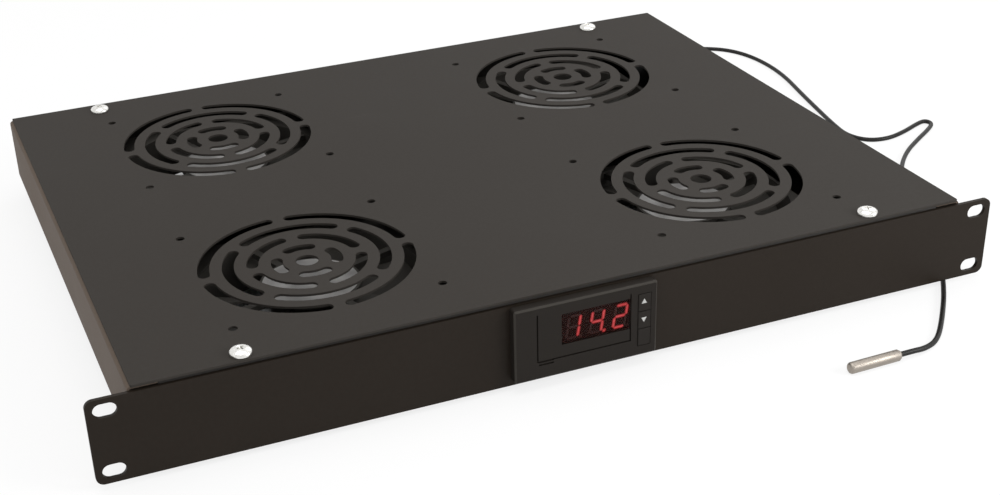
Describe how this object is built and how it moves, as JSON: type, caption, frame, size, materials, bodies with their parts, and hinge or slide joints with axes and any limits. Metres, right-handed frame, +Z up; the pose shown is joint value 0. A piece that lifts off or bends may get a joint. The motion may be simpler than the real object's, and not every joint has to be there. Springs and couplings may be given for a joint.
{
  "type": "rack fan tray",
  "caption": "Rack-mount cooling tray: sheet-metal body with punched ring grilles over axial fans, panel thermostat with digital display, and a temperature probe on a cable.",
  "frame": {"origin": "middle of the footprint, on the surface that the tray stands on", "axes": "+X right seen from the front, +Y from the front panel to the back, +Z up"},
  "size_m": [0.5936, 0.4665, 0.0533],
  "materials": {
    "panel_paint": "fine satin black powder coat",
    "cover_paint": "fine satin black powder coat",
    "tray_paint": "fine satin black powder coat",
    "zinc": "zinc plated",
    "nickel": "nickel plated",
    "guard_wire": "nickel plated wire",
    "brass": "nickel plated brass",
    "bezel_plastic": "fine eroded ABS",
    "case_plastic": "moulded ABS",
    "window_red": "dark red filter",
    "led_block": "moulded, grey face",
    "circuit_board": "green solder mask",
    "switch_plastic": "moulded",
    "transformer_core": "taped bobbin",
    "relay_plastic": "moulded blue",
    "terminal_plastic": "moulded green",
    "inlet_plastic": "moulded nylon",
    "key_plastic": "moulded ABS",
    "gland_rubber": "matt",
    "lead_sheath": "PVC sheath",
    "cable_sheath": "satin PVC sheath",
    "probe_steel": "drawn stainless sleeve",
    "bearing_steel": "ground",
    "magnet": "bonded ferrite",
    "stator_core": "laminated",
    "label_paper": "grey round sticker, bare",
    "fan_plastic": "black glass-filled PBT",
    "rotor_plastic": "black glass-filled PBT"
  },
  "bodies": {
    "tray": {"chassis_tray": "tray_paint", "control_board": "circuit_board", "cover_nuts": "zinc", "cover_screws": "nickel", "display_board": "circuit_board", "display_module": "led_block", "display_window": "window_red", "earth_stud": "zinc", "fan_bearings": "bearing_steel", "fan_boards": "circuit_board", "fan_frame_1": "fan_plastic", "fan_frame_2": "fan_plastic", "fan_frame_3": "fan_plastic", "fan_frame_4": "fan_plastic", "fan_labels": "label_paper", "fan_leads": "lead_sheath", "fan_nuts": "zinc", "fan_screws": "zinc", "fan_stator_1": "stator_core", "fan_stator_2": "stator_core", "fan_stator_3": "stator_core", "fan_stator_4": "stator_core", "front_panel": "panel_paint", "front_wall": "tray_paint", "guard_arms": "guard_wire", "guard_rings": "guard_wire", "inlet_pins": "brass", "inlet_screws": "zinc", "key_switches": "switch_plastic", "panel_nuts": "zinc", "power_inlet": "inlet_plastic", "rear_wall": "tray_paint", "relay": "relay_plastic", "sensor_cable": "cable_sheath", "sensor_gland": "gland_rubber", "sensor_inner_lead": "cable_sheath", "sensor_probe": "probe_steel", "side_walls": "tray_paint", "supply_lead": "lead_sheath", "terminal_block": "terminal_plastic", "thermostat_bezel": "bezel_plastic", "thermostat_case": "case_plastic", "thermostat_clips": "case_plastic", "top_cover": "cover_paint", "transformer": "transformer_core"},
    "impeller_1": {"fan_rotor_1": "rotor_plastic", "fan_shaft_1": "bearing_steel", "fan_magnet_1": "magnet"},
    "impeller_2": {"fan_rotor_2": "rotor_plastic", "fan_shaft_2": "bearing_steel", "fan_magnet_2": "magnet"},
    "impeller_3": {"fan_rotor_3": "rotor_plastic", "fan_shaft_3": "bearing_steel", "fan_magnet_3": "magnet"},
    "impeller_4": {"fan_rotor_4": "rotor_plastic", "fan_shaft_4": "bearing_steel", "fan_magnet_4": "magnet"},
    "up_button": {"up_key": "key_plastic"},
    "down_button": {"down_key": "key_plastic"},
    "set_button": {"set_key": "key_plastic"}
  },
  "joints": [
    {"name": "fan_spin_1", "type": "hinge", "parent": "tray", "child": "impeller_1", "pos_m": [-0.1115, -0.0885, 0.0254], "axis": [0, 0, 1], "continuous": true},
    {"name": "fan_spin_2", "type": "hinge", "parent": "tray", "child": "impeller_2", "pos_m": [0.1035, -0.0885, 0.0254], "axis": [0, 0, 1], "continuous": true},
    {"name": "fan_spin_3", "type": "hinge", "parent": "tray", "child": "impeller_3", "pos_m": [-0.1115, 0.0805, 0.0254], "axis": [0, 0, 1], "continuous": true},
    {"name": "fan_spin_4", "type": "hinge", "parent": "tray", "child": "impeller_4", "pos_m": [0.1035, 0.0805, 0.0254], "axis": [0, 0, 1], "continuous": true},
    {"name": "up_press", "type": "slide", "parent": "tray", "child": "up_button", "axis": [0, 1, 0], "range_m": [0, 0.0007], "stiffness_N_per_m": 400},
    {"name": "down_press", "type": "slide", "parent": "tray", "child": "down_button", "axis": [0, 1, 0], "range_m": [0, 0.0007], "stiffness_N_per_m": 400},
    {"name": "set_press", "type": "slide", "parent": "tray", "child": "set_button", "axis": [0, 1, 0], "range_m": [0, 0.0007], "stiffness_N_per_m": 400}
  ]
}
